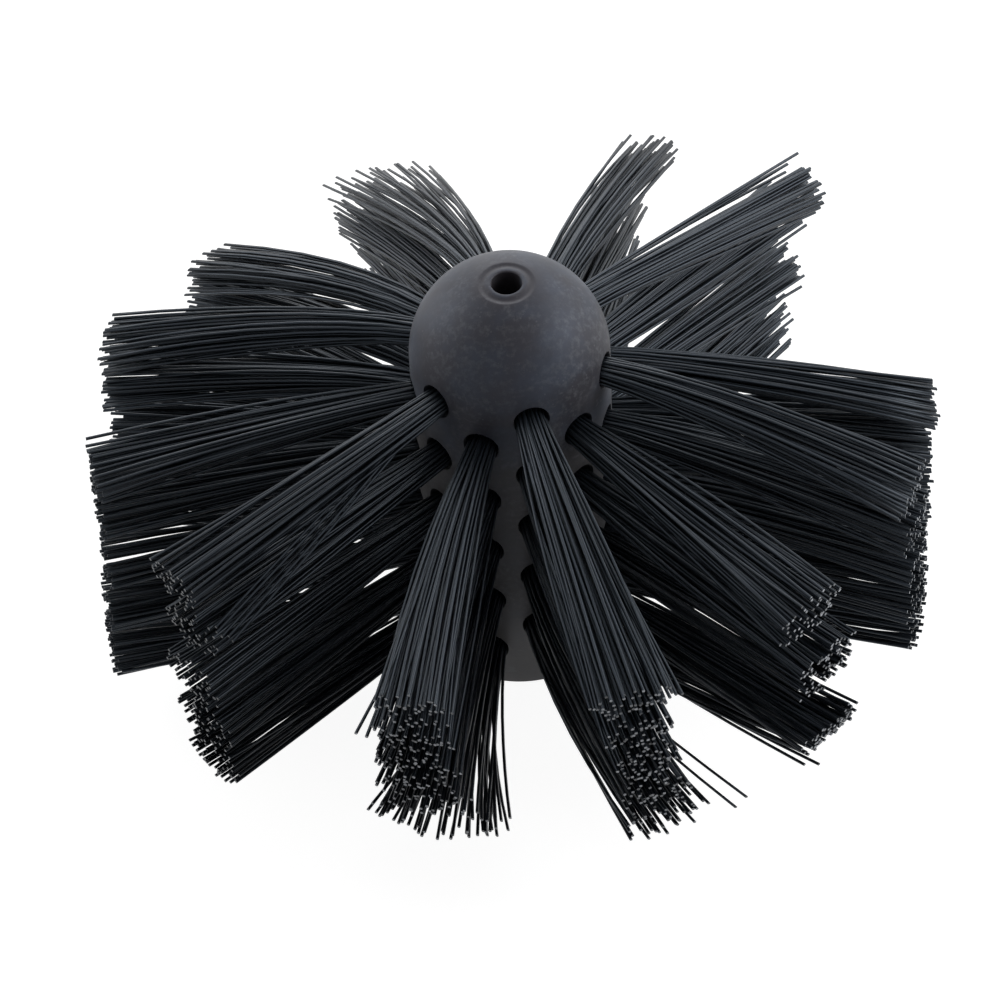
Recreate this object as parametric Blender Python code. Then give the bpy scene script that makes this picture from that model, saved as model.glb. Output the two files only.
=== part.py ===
"""Chimney sweep brush head.

A turned plastic hub with a half-round dome is drilled all round with blind holes, in columns
that stand alternately high and low. Each hole seats the folded root of a tuft of stiff nylon
filament, trimmed to the brush's circle. A threaded metal insert in the flat foot takes the rod.
Lengths are in metres, +Z is up, and the origin is the middle of the foot.
"""

import math

import bmesh
import bpy
from mathutils import Matrix

# Hub
HUB_RADIUS = 0.023
BARREL_HEIGHT = 0.091
FOOT_CHAMFER = 0.0008

# Blind hole at the tip of the dome and the shallow dish round it
TIP_HOLE_DIAMETER = 0.007
TIP_HOLE_DEPTH = 0.025
TIP_HOLE_CHAMFER = 0.0005
TIP_DISH_DIAMETER = 0.0124
TIP_DISH_DEPTH = 0.0004

# Tuft holes, drilled square to the hub's axis
COLUMN_COUNT = 12
TIER_COUNT = 5
TIER_PITCH = 0.0175
LOWEST_HOLE_HEIGHT = 0.0125
TUFT_HOLE_DIAMETER = 0.008
TUFT_HOLE_DEPTH = 0.011
DRILL_POINT_ANGLE = math.radians(118)

# Tufts
BRUSH_RADIUS = 0.098
STRAND_DIAMETER = 0.002
ROOT_RECESS = 0.0015
TUFT_TIP_WIDTH = 0.018
RING_STRANDS = 6

# How each column's tufts have set in use, counter-clockwise from the front column and tier by tier
# from the top. Lean is the shift of the tips round the brush, in shares of its radius. Rise is their
# shift upwards, in shares of the tier pitch. Fan shares widen the top, middle and lowest fans.
COLUMN_LEAN_SHARES = (
    (0.060, 0.080, 0.100, 0.115, 0.130),
    (0.020, 0.040, 0.040, 0.040, 0.050),
    (-0.030, -0.020, -0.010, 0.000, 0.010),
    (-0.140, -0.140, -0.120, -0.100, -0.080),
    (0.010, 0.090, 0.100, 0.125, 0.120),
    (-0.045, 0.030, 0.060, 0.070, 0.070),
    (0.130, 0.200, 0.120, 0.080, 0.060),
    (0.160, 0.170, 0.140, 0.110, 0.080),
    (0.090, 0.110, 0.100, 0.090, 0.080),
    (0.010, 0.000, 0.000, 0.000, 0.000),
    (-0.050, -0.010, 0.010, 0.040, 0.060),
    (0.075, 0.070, 0.070, 0.080, 0.110),
)
COLUMN_RISE_SHARES = (
    (-0.85, -0.40, 0.00, 0.40, 0.72),
    (-0.30, -0.10, 0.48, 0.43, 1.00),
    (-0.90, -0.55, -0.25, 0.05, 0.33),
    (-1.15, -0.70, -0.40, -0.15, 0.10),
    (-0.90, -0.52, -0.35, -0.15, 0.00),
    (-1.00, -1.00, -0.75, -0.45, -0.20),
    (-1.70, -1.28, -1.00, -0.60, -0.20),
    (-1.20, -0.60, -0.50, -0.20, 0.10),
    (-0.92, -0.50, -0.30, -0.10, 0.10),
    (-0.30, -0.05, 0.00, 0.08, 0.18),
    (-0.35, -0.10, 0.12, 0.37, 0.66),
    (-0.25, 0.15, 0.55, 0.95, 1.30),
)
COLUMN_FAN_SHARES = (
    (1.15, 1.15, 1.15),
    (1.15, 1.00, 1.00),
    (1.00, 1.00, 1.00),
    (0.85, 1.00, 1.00),
    (0.70, 0.85, 0.85),
    (0.85, 0.85, 0.85),
    (1.65, 0.85, 0.85),
    (1.00, 1.00, 1.00),
    (0.85, 1.00, 1.00),
    (1.00, 1.00, 1.00),
    (1.00, 1.00, 1.00),
    (1.00, 1.15, 1.65),
)
BEND_POWER = 1.5

# Threaded insert for the rod
INSERT_DIAMETER = 0.014
INSERT_LENGTH = 0.030
INSERT_BORE_DIAMETER = 0.0102
INSERT_CHAMFER = 0.0005
INSERT_LEAD_IN = 0.001
INSERT_GROOVE_WIDTH = 0.002
INSERT_GROOVE_DEPTH = 0.0006
INSERT_RECESS = 0.0005
ROD_END_ROOM = 0.0035

# Clearances, and the length by which a cutting or joining body runs past its surface
SEAT_GAP = 0.0003
STRAND_GAP = 0.0001
TIER_GAP = 0.0009
OVERRUN = 0.0004
MERGE_DISTANCE = 0.000001

# Facets
HUB_SIDES = 48
DOME_STEPS = 9
HOLE_SIDES = 12
ROOT_SIDES = 8
INSERT_SIDES = 24
STRAND_SIDES = 3
STRAND_STEPS = 2
SHARP_ANGLE = math.radians(35)

# Tufts made in one piece with the hub: the lowest two high on the sides, opposite each other
FUSED_COLUMNS = (COLUMN_COUNT // 4, COLUMN_COUNT // 4 + COLUMN_COUNT // 2)
FUSED_TIER = TIER_COUNT - 1

FRONT = -math.pi / 2


def drill_point_length(radius):
    """Length of the cone that a drill of this radius leaves at the end of its hole."""
    return radius / math.tan(DRILL_POINT_ANGLE / 2)


def inside_radius(radius, sides):
    """Distance from a polygon's centre to the middle of a side, from that to its corners."""
    return radius * math.cos(math.pi / sides)


def column_turn(column):
    """Angle of a column of tufts about the hub's axis; the first one faces the front."""
    return FRONT + column * 2 * math.pi / COLUMN_COUNT


def hole_height(column, tier):
    """Height of a tuft hole. Tier 0 is the top one, and every other column stands low."""
    stagger = 0 if column % 2 else TIER_PITCH / 2
    return LOWEST_HOLE_HEIGHT + stagger + (TIER_COUNT - 1 - tier) * TIER_PITCH


def share_at_tier(shares, tier):
    """Share at a tier, between those given at even steps from the top tier to the lowest."""
    place = (len(shares) - 1) * tier / (TIER_COUNT - 1)
    start = min(int(place), len(shares) - 2)
    return shares[start] + (shares[start + 1] - shares[start]) * (place - start)


def tuft_set(column, tier):
    """Lean and rise of a tuft's tips."""
    row = column % len(COLUMN_LEAN_SHARES)
    lean = BRUSH_RADIUS * share_at_tier(COLUMN_LEAN_SHARES[row], tier)
    rise = TIER_PITCH * share_at_tier(COLUMN_RISE_SHARES[row], tier)
    return lean, rise


def tuft_fan(column, tier):
    """Width and height of the fan of strand ends, which leaves a gap to the tiers next to it."""
    shares = COLUMN_FAN_SHARES[column % len(COLUMN_FAN_SHARES)]
    share = shares[int(tier > 0) + int(tier == TIER_COUNT - 1)]
    rises = [tuft_set(column, other)[1] for other in range(TIER_COUNT)]
    spacings = [TIER_PITCH + upper - lower for upper, lower in zip(rises, rises[1:])]
    closest = min(spacings[max(tier - 1, 0) : tier + 1])
    return TUFT_TIP_WIDTH * share, closest - STRAND_DIAMETER - TIER_GAP


def nylon_material():
    return plain_material("black_nylon_filament", (0.028, 0.031, 0.033), 0.42, 0)


def hub_material():
    return plain_material("charcoal_turned_plastic", (0.052, 0.055, 0.060), 0.62, 0)


def insert_material():
    return plain_material("turned_brass", (0.60, 0.42, 0.17), 0.32, 1)


def plain_material(name, colour, roughness, metallic):
    """Principled material of one colour."""
    material = bpy.data.materials.new(name)
    material.use_nodes = True
    shader = material.node_tree.nodes["Principled BSDF"]
    shader.inputs["Base Color"].default_value = (*colour, 1)
    shader.inputs["Roughness"].default_value = roughness
    shader.inputs["Metallic"].default_value = metallic
    material.diffuse_color = (*colour, 1)
    return material


def finish_mesh(bm, name, material):
    """Turns the faces outwards and makes the mesh, smooth where the surface is round."""
    bmesh.ops.recalc_face_normals(bm, faces=bm.faces)
    mesh = bpy.data.meshes.new(name)
    bm.to_mesh(mesh)
    bm.free()
    mesh.shade_smooth()
    mesh.set_sharp_from_angle(angle=SHARP_ANGLE)
    mesh.materials.append(material)
    return mesh


def add_object(name, mesh, parent=None):
    obj = bpy.data.objects.new(name, mesh)
    obj.parent = parent
    bpy.context.scene.collection.objects.link(obj)
    return obj


def hide_helper(obj):
    """Marks a body that only cuts or joins another."""
    obj.hide_render = True
    obj.display_type = "WIRE"


def turned_mesh(name, outline, sides, material, closed=False):
    """Spins an outline of (radius, height) points about Z."""
    bm = bmesh.new()
    verts = [bm.verts.new((radius, 0, height)) for radius, height in outline]
    following = verts[1:] + verts[:1] if closed else verts[1:]
    edges = [bm.edges.new(pair) for pair in zip(verts, following)]
    bmesh.ops.spin(
        bm,
        geom=verts + edges,
        cent=(0, 0, 0),
        axis=(0, 0, 1),
        angle=2 * math.pi,
        steps=sides,
        use_merge=True,
    )
    bmesh.ops.remove_doubles(bm, verts=bm.verts, dist=MERGE_DISTANCE)
    return finish_mesh(bm, name, material)


def dome_outline():
    """Arc of the dome from the edge of its dish down to the barrel."""
    start = math.asin(TIP_DISH_DIAMETER / 2 / HUB_RADIUS)
    turn = (math.pi / 2 - start) / DOME_STEPS
    angles = [start + turn * step for step in range(DOME_STEPS + 1)]
    return [
        (HUB_RADIUS * math.sin(angle), BARREL_HEIGHT + HUB_RADIUS * math.cos(angle))
        for angle in angles
    ]


def hub_outline():
    """Section of the hub, from the end of the tip hole over the dome to the end of the socket."""
    dome = dome_outline()
    rim = dome[0][1] - TIP_DISH_DEPTH
    tip_radius = TIP_HOLE_DIAMETER / 2
    tip_end = rim - TIP_HOLE_DEPTH
    socket_radius = INSERT_DIAMETER / 2 + SEAT_GAP
    socket_depth = INSERT_RECESS + INSERT_LENGTH + ROD_END_ROOM
    tip_hole = [
        (0, tip_end - drill_point_length(tip_radius)),
        (tip_radius, tip_end),
        (tip_radius, rim - TIP_HOLE_CHAMFER),
        (tip_radius + TIP_HOLE_CHAMFER, rim),
    ]
    foot = [
        (HUB_RADIUS, FOOT_CHAMFER),
        (HUB_RADIUS - FOOT_CHAMFER, 0),
        (socket_radius, 0),
        (socket_radius, socket_depth),
        (0, socket_depth + drill_point_length(socket_radius)),
    ]
    return tip_hole + dome + foot


def insert_outline():
    """Section of the threaded insert's wall, with two grooves that key it into the plastic."""
    outer = INSERT_DIAMETER / 2
    bore = INSERT_BORE_DIAMETER / 2
    low = INSERT_RECESS
    high = low + INSERT_LENGTH
    outline = [
        (bore + INSERT_LEAD_IN, low),
        (outer - INSERT_CHAMFER, low),
        (outer, low + INSERT_CHAMFER),
    ]
    for groove in (1, 2):
        middle = low + INSERT_LENGTH * groove / 3
        outline += [
            (outer, middle - INSERT_GROOVE_WIDTH / 2),
            (outer - INSERT_GROOVE_DEPTH, middle - INSERT_GROOVE_WIDTH / 2 + INSERT_GROOVE_DEPTH),
            (outer - INSERT_GROOVE_DEPTH, middle + INSERT_GROOVE_WIDTH / 2 - INSERT_GROOVE_DEPTH),
            (outer, middle + INSERT_GROOVE_WIDTH / 2),
        ]
    outline += [
        (outer, high - INSERT_CHAMFER),
        (outer - INSERT_CHAMFER, high),
        (bore + INSERT_CHAMFER, high),
        (bore, high - INSERT_CHAMFER),
        (bore, low + INSERT_LEAD_IN),
    ]
    return outline


def add_pointed_rod(bm, sides, radius, outer_end, cone_start, apex):
    """Ring of a rod along X at its outer end, with its wall and the cone at its inner end."""
    turn = Matrix.Rotation(math.pi / 2, 4, "Y")
    ring = bmesh.ops.create_circle(
        bm, segments=sides, radius=radius, matrix=Matrix.Translation((outer_end, 0, 0)) @ turn
    )["verts"]
    mouth = list({edge for vert in ring for edge in vert.link_edges})
    edges = mouth
    for length in (cone_start - outer_end, apex - cone_start):
        made = bmesh.ops.extrude_edge_only(bm, edges=edges)["geom"]
        verts = [item for item in made if isinstance(item, bmesh.types.BMVert)]
        edges = [item for item in made if isinstance(item, bmesh.types.BMEdge) and item.is_boundary]
        bmesh.ops.translate(bm, verts=verts, vec=(length, 0, 0))
    bmesh.ops.pointmerge(bm, verts=verts, merge_co=(apex, 0, 0))
    return mouth


def hole_cutter_mesh(material):
    """One drilled hole's space, along X from the hub's axis."""
    radius = TUFT_HOLE_DIAMETER / 2
    cone_start = HUB_RADIUS - TUFT_HOLE_DEPTH
    apex = cone_start - drill_point_length(radius)
    bm = bmesh.new()
    mouth = add_pointed_rod(bm, HOLE_SIDES, radius, HUB_RADIUS + OVERRUN, cone_start, apex)
    bmesh.ops.contextual_create(bm, geom=mouth)
    return finish_mesh(bm, "tuft_hole_cutter", material)


def strand_places(ring_width, ring_height):
    """Middles of a tuft's strands: one at the centre and a ring round it."""
    places = [(0, 0)]
    for strand in range(RING_STRANDS):
        angle = (strand + 0.5) * 2 * math.pi / RING_STRANDS
        places.append((ring_width / 2 * math.cos(angle), ring_height / 2 * math.sin(angle)))
    return places


def grow_strand(bm, loop, root, tip, root_face, bend):
    """Draws a loop of edges out into a strand that fans from root to tip and bends aside."""
    length = math.sqrt(BRUSH_RADIUS**2 - tip[0] ** 2) - root_face
    reach = math.sqrt(length**2 - math.dist(root, (tip[0] + bend[0], tip[1] + bend[1])) ** 2)
    edges = loop
    reached = (root_face, *root)
    for step in range(1, STRAND_STEPS + 1):
        share = step / STRAND_STEPS
        bend_share = share**BEND_POWER
        target = (
            root_face + reach * share,
            root[0] + (tip[0] - root[0]) * share + bend[0] * bend_share,
            root[1] + (tip[1] - root[1]) * share + bend[1] * bend_share,
        )
        made = bmesh.ops.extrude_edge_only(bm, edges=edges)["geom"]
        verts = [item for item in made if isinstance(item, bmesh.types.BMVert)]
        edges = [item for item in made if isinstance(item, bmesh.types.BMEdge) and item.is_boundary]
        shift = [after - before for after, before in zip(target, reached)]
        bmesh.ops.translate(bm, verts=verts, vec=shift)
        reached = target
    bmesh.ops.contextual_create(bm, geom=edges)


def tuft_mesh(name, column, tier, root_radius, gap, material):
    """A tuft along X: a pointed root that fills its hole, and strands that fan out of its face."""
    root_face = HUB_RADIUS - ROOT_RECESS
    hole_end = HUB_RADIUS - TUFT_HOLE_DEPTH - drill_point_length(TUFT_HOLE_DIAMETER / 2)
    apex = hole_end + gap / math.sin(DRILL_POINT_ANGLE / 2)
    cone_start = apex + drill_point_length(root_radius)
    root_ring = inside_radius(seated_root_radius(), ROOT_SIDES) - STRAND_DIAMETER / 2 - STRAND_GAP
    roots = strand_places(2 * root_ring, 2 * root_ring)
    tips = strand_places(*tuft_fan(column, tier))
    bend = tuft_set(column, tier)
    upright = Matrix.Rotation(math.pi / 2, 4, "Y")
    bm = bmesh.new()
    face_edges = add_pointed_rod(bm, ROOT_SIDES, root_radius, root_face, cone_start, apex)
    loops = []
    for root in roots:
        place = Matrix.Translation((root_face, *root)) @ upright
        circle = bmesh.ops.create_circle(
            bm, segments=STRAND_SIDES, radius=STRAND_DIAMETER / 2, matrix=place
        )["verts"]
        loops.append(list({edge for vert in circle for edge in vert.link_edges}))
    cap_edges = face_edges + [edge for loop in loops for edge in loop]
    bmesh.ops.triangle_fill(bm, use_beauty=True, use_dissolve=False, edges=cap_edges)
    for loop, root, tip in zip(loops, roots, tips):
        grow_strand(bm, loop, root, tip, root_face, bend)
    return finish_mesh(bm, name, material)


def seated_root_radius():
    """Radius of a root that stands clear of its hole's wall by the seat gap."""
    return inside_radius(TUFT_HOLE_DIAMETER / 2, HOLE_SIDES) - SEAT_GAP


def fused_root_radius():
    """Radius of a root that runs a little into the wall of its hole all round."""
    return (TUFT_HOLE_DIAMETER / 2 + OVERRUN) / math.cos(math.pi / ROOT_SIDES)


def tuft_place(column, tier):
    """Place and turn of a tuft or its hole, from their shape along X."""
    shift = Matrix.Translation((0, 0, hole_height(column, tier)))
    return shift @ Matrix.Rotation(column_turn(column), 4, "Z")


def joined_meshes(name, placed_meshes, material):
    """One mesh that holds several others, each at its place."""
    bm = bmesh.new()
    for mesh, place in placed_meshes:
        known = len(bm.verts)
        bm.from_mesh(mesh)
        bm.verts.ensure_lookup_table()
        bmesh.ops.transform(bm, matrix=place, verts=bm.verts[known:])
    return finish_mesh(bm, name, material)


def is_fused(column, tier):
    return tier == FUSED_TIER and column in FUSED_COLUMNS


def add_boolean(obj, operation, other):
    modifier = obj.modifiers.new(other.name, "BOOLEAN")
    modifier.operation = operation
    modifier.solver = "EXACT"
    modifier.object = other


def build_hub(head, plastic):
    """Turned hub, drilled for all its tufts, with the two that are one with it."""
    hub = add_object("hub", turned_mesh("hub", hub_outline(), HUB_SIDES, plastic), head)
    seats = [(column, tier) for column in range(COLUMN_COUNT) for tier in range(TIER_COUNT)]
    hole = hole_cutter_mesh(plastic)
    holes = [(hole, tuft_place(*seat)) for seat in seats]
    fused = [
        (tuft_mesh("fused_tuft", *seat, fused_root_radius(), -OVERRUN, plastic), tuft_place(*seat))
        for seat in seats
        if is_fused(*seat)
    ]
    for operation, mesh in (
        ("DIFFERENCE", joined_meshes("tuft_holes", holes, plastic)),
        ("UNION", joined_meshes("fused_tufts", fused, plastic)),
    ):
        helper = add_object(mesh.name, mesh, head)
        hide_helper(helper)
        add_boolean(hub, operation, helper)


def build_insert(head, brass):
    mesh = turned_mesh("threaded_insert", insert_outline(), INSERT_SIDES, brass, closed=True)
    add_object("threaded_insert", mesh, head)


def build_tufts(head, nylon):
    """The separate tufts, tier by tier down each column."""
    for column in range(COLUMN_COUNT):
        for tier in range(TIER_COUNT):
            if is_fused(column, tier):
                continue
            name = f"tuft_c{column + 1:02d}_t{tier + 1}"
            mesh = tuft_mesh(name, column, tier, seated_root_radius(), SEAT_GAP, nylon)
            tuft = add_object(name, mesh, head)
            tuft.location.z = hole_height(column, tier)
            tuft.rotation_euler.z = column_turn(column)


def main():
    for obj in list(bpy.data.objects):
        bpy.data.objects.remove(obj)
    head = add_object("brush_head", None)
    build_hub(head, hub_material())
    build_insert(head, insert_material())
    build_tufts(head, nylon_material())


main()
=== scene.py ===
"""Looks of a chimney sweep brush head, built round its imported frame.

A turned plastic hub with a half-round dome carries sixty tufts of black nylon filament, in twelve
columns that stand alternately high and low. Every filament is modelled, from its seat in the
drilled hole to its pale cut end. A threaded brass bush in the foot takes the sweep's rod.
Lengths are in metres, in the frame's own axes: +Z up, with the origin in the middle of the foot.
"""

import logging
import math
import random
from dataclasses import dataclass, field
from enum import Enum

import bmesh
import bpy
from mathutils import Matrix, Quaternion, Vector, noise


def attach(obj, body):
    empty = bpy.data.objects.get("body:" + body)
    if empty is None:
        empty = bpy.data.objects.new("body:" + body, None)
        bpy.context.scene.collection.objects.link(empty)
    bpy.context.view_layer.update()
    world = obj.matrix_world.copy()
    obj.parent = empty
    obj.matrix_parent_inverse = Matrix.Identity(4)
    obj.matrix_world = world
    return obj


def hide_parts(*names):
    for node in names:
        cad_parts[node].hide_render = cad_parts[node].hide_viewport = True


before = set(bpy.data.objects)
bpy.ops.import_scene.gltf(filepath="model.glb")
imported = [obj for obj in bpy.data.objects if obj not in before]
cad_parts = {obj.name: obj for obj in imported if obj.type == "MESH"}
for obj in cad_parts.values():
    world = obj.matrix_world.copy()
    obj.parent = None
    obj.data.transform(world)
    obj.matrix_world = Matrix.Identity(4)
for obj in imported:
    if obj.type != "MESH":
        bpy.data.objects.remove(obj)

MM = 0.001
IMAGE_SIDE = 1001
SENSOR_WIDTH = 36.0
MERGE_DISTANCE = 1e-6
SHARP_ANGLE = math.radians(35)
CLUMP_SEED = 20

log = logging.getLogger("brush_head")

Colour = tuple[float, float, float, float]
Outline = list[tuple[float, float]]
Tree = bpy.types.NodeTree
Socket = bpy.types.NodeSocket


class Fan(Enum):
    """Width, across the brush, to which the tips of a tuft spread."""

    NARROW = 12.0 * MM
    TIGHT = 15.0 * MM
    EVEN = 18.0 * MM
    BROAD = 20.5 * MM
    SPLAYED = 30.0 * MM


def linear(hex_colour: str) -> Colour:
    """Turns an sRGB hex colour to the linear values that shaders take.

    Args:
        hex_colour: Six hex digits, such as "3a3c41".

    Returns:
        Linear red, green and blue, and an alpha of 1.
    """
    shares = [int(hex_colour[i : i + 2], 16) / 255 for i in (0, 2, 4)]
    lit = [s / 12.92 if s <= 0.04045 else ((s + 0.055) / 1.055) ** 2.4 for s in shares]
    return (*lit, 1.0)


def add_node(
    tree: Tree,
    kind: str,
    values: dict | None = None,
    links: dict | None = None,
    stops: dict[float, Colour] | None = None,
    **settings: object,
) -> bpy.types.Node:
    """Adds a shader node with its settings, socket values and links.

    Args:
        tree: Node tree that the node joins.
        kind: Type of the node after its first word, such as "TexNoise".
        values: Input socket names or numbers, each with its constant.
        links: Input socket names or numbers, each with the output socket that feeds it.
        stops: Positions on a colour ramp in rising order, each with its colour.
        **settings: Properties of the node itself.

    Returns:
        The new node.
    """
    node = tree.nodes.new("ShaderNode" + kind)
    for name, value in settings.items():
        setattr(node, name, value)
    for socket, value in (values or {}).items():
        node.inputs[socket].default_value = value
    for socket, output in (links or {}).items():
        tree.links.new(output, node.inputs[socket])
    if stops:
        elements = node.color_ramp.elements
        while len(elements) < len(stops):
            elements.new(1.0)
        for element, (position, colour) in zip(elements, stops.items()):
            element.position = position
            element.color = colour
    return node


def grey(level: float) -> Colour:
    """Grey of one level, for a ramp that works as a mask."""
    return (level, level, level, 1.0)


def new_tree(name: str) -> tuple[bpy.types.Material, Tree]:
    """Makes an empty node material.

    Args:
        name: Name of the material.

    Returns:
        The material and its node tree, without nodes.
    """
    material = bpy.data.materials.new(name)
    material.use_nodes = True
    material.node_tree.nodes.clear()
    return material, material.node_tree


def direction(azimuth: float, elevation: float) -> Vector:
    """Unit vector from the object towards a lamp or the camera.

    Args:
        azimuth: Direction round the object in radians, 0 at the front, towards the right.
        elevation: Height above the horizon in radians.

    Returns:
        The vector.
    """
    level = math.cos(elevation)
    return Vector((math.sin(azimuth) * level, -math.cos(azimuth) * level, math.sin(elevation)))


@dataclass(frozen=True)
class Pattern:
    """Size of the features of a noise, and how much finer detail they carry."""

    size: float
    detail: float = 2.0
    roughness: float = 0.5

    def values(self) -> dict[str, float]:
        """Values of a noise node's sockets."""
        return {"Scale": 1 / self.size, "Detail": self.detail, "Roughness": self.roughness}


@dataclass(frozen=True)
class TurnedPlastic:
    """Charcoal polypropylene, turned and drilled: matt, stained by soot, lightly scuffed.

    Its colour also holds painted shade in a ring round the tip hole, and painted light from the
    floor on the barrel, palest at the foot.
    """

    dark: str = "191c24"
    pale: str = "313641"
    # Soot in broad patches, and painted shade in the ring round the tip hole.
    soot_and_shade: str = "1d191c"
    # Painted light from the floor: the barrel is painted paler, palest at the foot.
    painted_floor_light: str = "5c5a58"
    scuff: str = "6e7074"
    tint: str = "e0e6f6"
    ior: float = 1.49
    specular: float = 0.44
    smooth: float = 0.49
    rough: float = 0.66
    sheen: float = 0.08
    sheen_roughness: float = 0.4
    mottle: Pattern = Pattern(9.0 * MM, 5.0, 0.62)
    stains: Pattern = Pattern(17.0 * MM, 4.0, 0.55)
    ring_reach: float = 18.0 * MM
    ring_wobble: float = 0.33
    barrel: float = 91.0 * MM
    floor_light_wobble: float = 0.15
    grain: Pattern = Pattern(0.45 * MM, 3.0, 0.6)
    grain_depth: float = 0.03 * MM
    grain_strength: float = 0.35
    speck_size: float = 1.9 * MM
    dust: Pattern = Pattern(1.6 * MM, 4.0, 0.7)
    dusty_patches: Pattern = Pattern(18.0 * MM)
    scratches: Pattern = Pattern(5.0 * MM, 1.0)
    scratch_distortion: float = 0.1
    scratch_turn: tuple[float, float, float] = (0.5, 0.7, 0.9)
    scratch_stretch: tuple[float, float, float] = (0.18, 2.6, 2.6)

    def material(self) -> bpy.types.Material:
        """Builds the material.

        Returns:
            A node material on object coordinates.
        """
        material, tree = new_tree("turned_charcoal_polypropylene")
        place = add_node(tree, "TexCoord").outputs["Object"]
        mottle = add_node(
            tree, "TexNoise", values=self.mottle.values(), links={"Vector": place}
        ).outputs["Fac"]
        specks = self.speck_mask(tree, place)
        scratches = self.scratch_mask(tree, place)
        marks = add_node(
            tree, "Math", operation="MAXIMUM", links={0: specks, 1: scratches}
        ).outputs[0]
        colour = add_node(
            tree,
            "ValToRGB",
            links={"Fac": mottle},
            stops={0.34: linear(self.dark), 0.66: linear(self.pale)},
        ).outputs["Color"]
        layers = (
            # Soot in patches, with painted shade in the dish round the tip hole.
            (self.soot_and_shade, self.soot_and_shade_mask(tree, place, mottle)),
            # Painted light from the floor, over the barrel and most of all at its foot.
            (self.painted_floor_light, self.painted_floor_light_mask(tree, place, mottle)),
            (self.scuff, marks),
        )
        for layer, mask in layers:
            colour = add_node(
                tree,
                "Mix",
                data_type="RGBA",
                values={"B": linear(layer)},
                links={"Factor": mask, "A": colour},
            ).outputs["Result"]
        grain = add_node(
            tree, "TexNoise", values=self.grain.values(), links={"Vector": place}
        ).outputs["Fac"]
        roughness = add_node(
            tree,
            "MapRange",
            values={"To Min": self.smooth, "To Max": self.rough},
            links={"Value": mottle},
        ).outputs["Result"]
        bump = add_node(
            tree,
            "Bump",
            values={"Strength": self.grain_strength, "Distance": self.grain_depth},
            links={"Height": grain},
        ).outputs["Normal"]
        shader = add_node(
            tree,
            "BsdfPrincipled",
            values={
                "IOR": self.ior,
                "Specular IOR Level": self.specular,
                "Specular Tint": linear(self.tint),
                "Sheen Weight": self.sheen,
                "Sheen Roughness": self.sheen_roughness,
            },
            links={"Base Color": colour, "Roughness": roughness, "Normal": bump},
        )
        add_node(tree, "OutputMaterial", links={"Surface": shader.outputs[0]})
        return material

    def soot_and_shade_mask(self, tree: Tree, place: Socket, mottle: Socket) -> Socket:
        """Soot that has greyed the plastic in broad patches, and painted shade in a ring round the
        tip hole.

        Args:
            tree: Node tree of the material.
            place: Object coordinates.
            mottle: Fine noise that frays the ring's edges.

        Returns:
            Mask, 0 on clean plastic and up to 1 in the ring.
        """
        stains = add_node(
            tree, "TexNoise", values=self.stains.values(), links={"Vector": place}
        ).outputs["Fac"]
        patches = add_node(
            tree, "ValToRGB", links={"Fac": stains}, stops={0.42: grey(0.0), 0.60: grey(0.8)}
        ).outputs["Color"]
        flat = add_node(
            tree,
            "VectorMath",
            operation="MULTIPLY",
            values={1: (1 / self.ring_reach, 1 / self.ring_reach, 0.0)},
            links={0: place},
        ).outputs[0]
        radius = add_node(tree, "VectorMath", operation="LENGTH", links={0: flat}).outputs["Value"]
        frayed = add_node(
            tree,
            "Math",
            operation="MULTIPLY_ADD",
            values={1: self.ring_wobble},
            links={0: mottle, 2: radius},
        ).outputs[0]
        # Painted shade: darker in the dish round the tip hole and down the hole, with a clean lip
        # between.
        ring = add_node(
            tree,
            "ValToRGB",
            links={"Fac": frayed},
            stops={
                0.36: grey(1.0),
                0.38: grey(0.0),
                0.43: grey(1.0),
                0.50: grey(1.0),
                0.60: grey(0.6),
                0.92: grey(0.0),
            },
        ).outputs["Color"]
        return add_node(tree, "Math", operation="MAXIMUM", links={0: patches, 1: ring}).outputs[0]

    def painted_floor_light_mask(self, tree: Tree, place: Socket, mottle: Socket) -> Socket:
        """Painted light from the floor on the barrel, palest at its foot.

        Args:
            tree: Node tree of the material.
            place: Object coordinates.
            mottle: Fine noise that frays the edges of the painted light.

        Returns:
            Mask, 0 on the dome, about a half on the barrel and 0.85 at the foot.
        """
        height = add_node(tree, "SeparateXYZ", links={"Vector": place}).outputs["Z"]
        share = add_node(
            tree, "MapRange", values={"From Max": self.barrel}, links={"Value": height}
        ).outputs["Result"]
        frayed = add_node(
            tree,
            "Math",
            operation="MULTIPLY_ADD",
            values={1: self.floor_light_wobble},
            links={0: mottle, 2: share},
        ).outputs[0]
        return add_node(
            tree,
            "ValToRGB",
            links={"Fac": frayed},
            stops={0.18: grey(0.85), 0.34: grey(0.50), 0.85: grey(0.38), 1.00: grey(0.0)},
        ).outputs["Color"]

    def speck_mask(self, tree: Tree, place: Socket) -> Socket:
        """Dust in the pores of some patches, with a few larger specks.

        Args:
            tree: Node tree of the material.
            place: Object coordinates.

        Returns:
            Mask, 0 on clean plastic and up to 0.4 in the dust.
        """
        cells = add_node(
            tree,
            "TexVoronoi",
            values={"Scale": 1 / self.speck_size, "Randomness": 1.0},
            links={"Vector": place},
        ).outputs["Distance"]
        dust = add_node(
            tree, "TexNoise", values=self.dust.values(), links={"Vector": place}
        ).outputs["Fac"]
        patches = add_node(
            tree, "TexNoise", values=self.dusty_patches.values(), links={"Vector": place}
        ).outputs["Fac"]
        ramps = (
            (cells, {0.05: grey(0.35), 0.16: grey(0.0)}),
            (dust, {0.48: grey(0.0), 0.74: grey(0.40)}),
            (patches, {0.42: grey(0.20), 0.60: grey(1.0)}),
        )
        dots, powder, where = (
            add_node(tree, "ValToRGB", links={"Fac": source}, stops=stops).outputs["Color"]
            for source, stops in ramps
        )
        marks = add_node(tree, "Math", operation="MAXIMUM", links={0: dots, 1: powder}).outputs[0]
        return add_node(tree, "Math", operation="MULTIPLY", links={0: marks, 1: where}).outputs[0]

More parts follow.
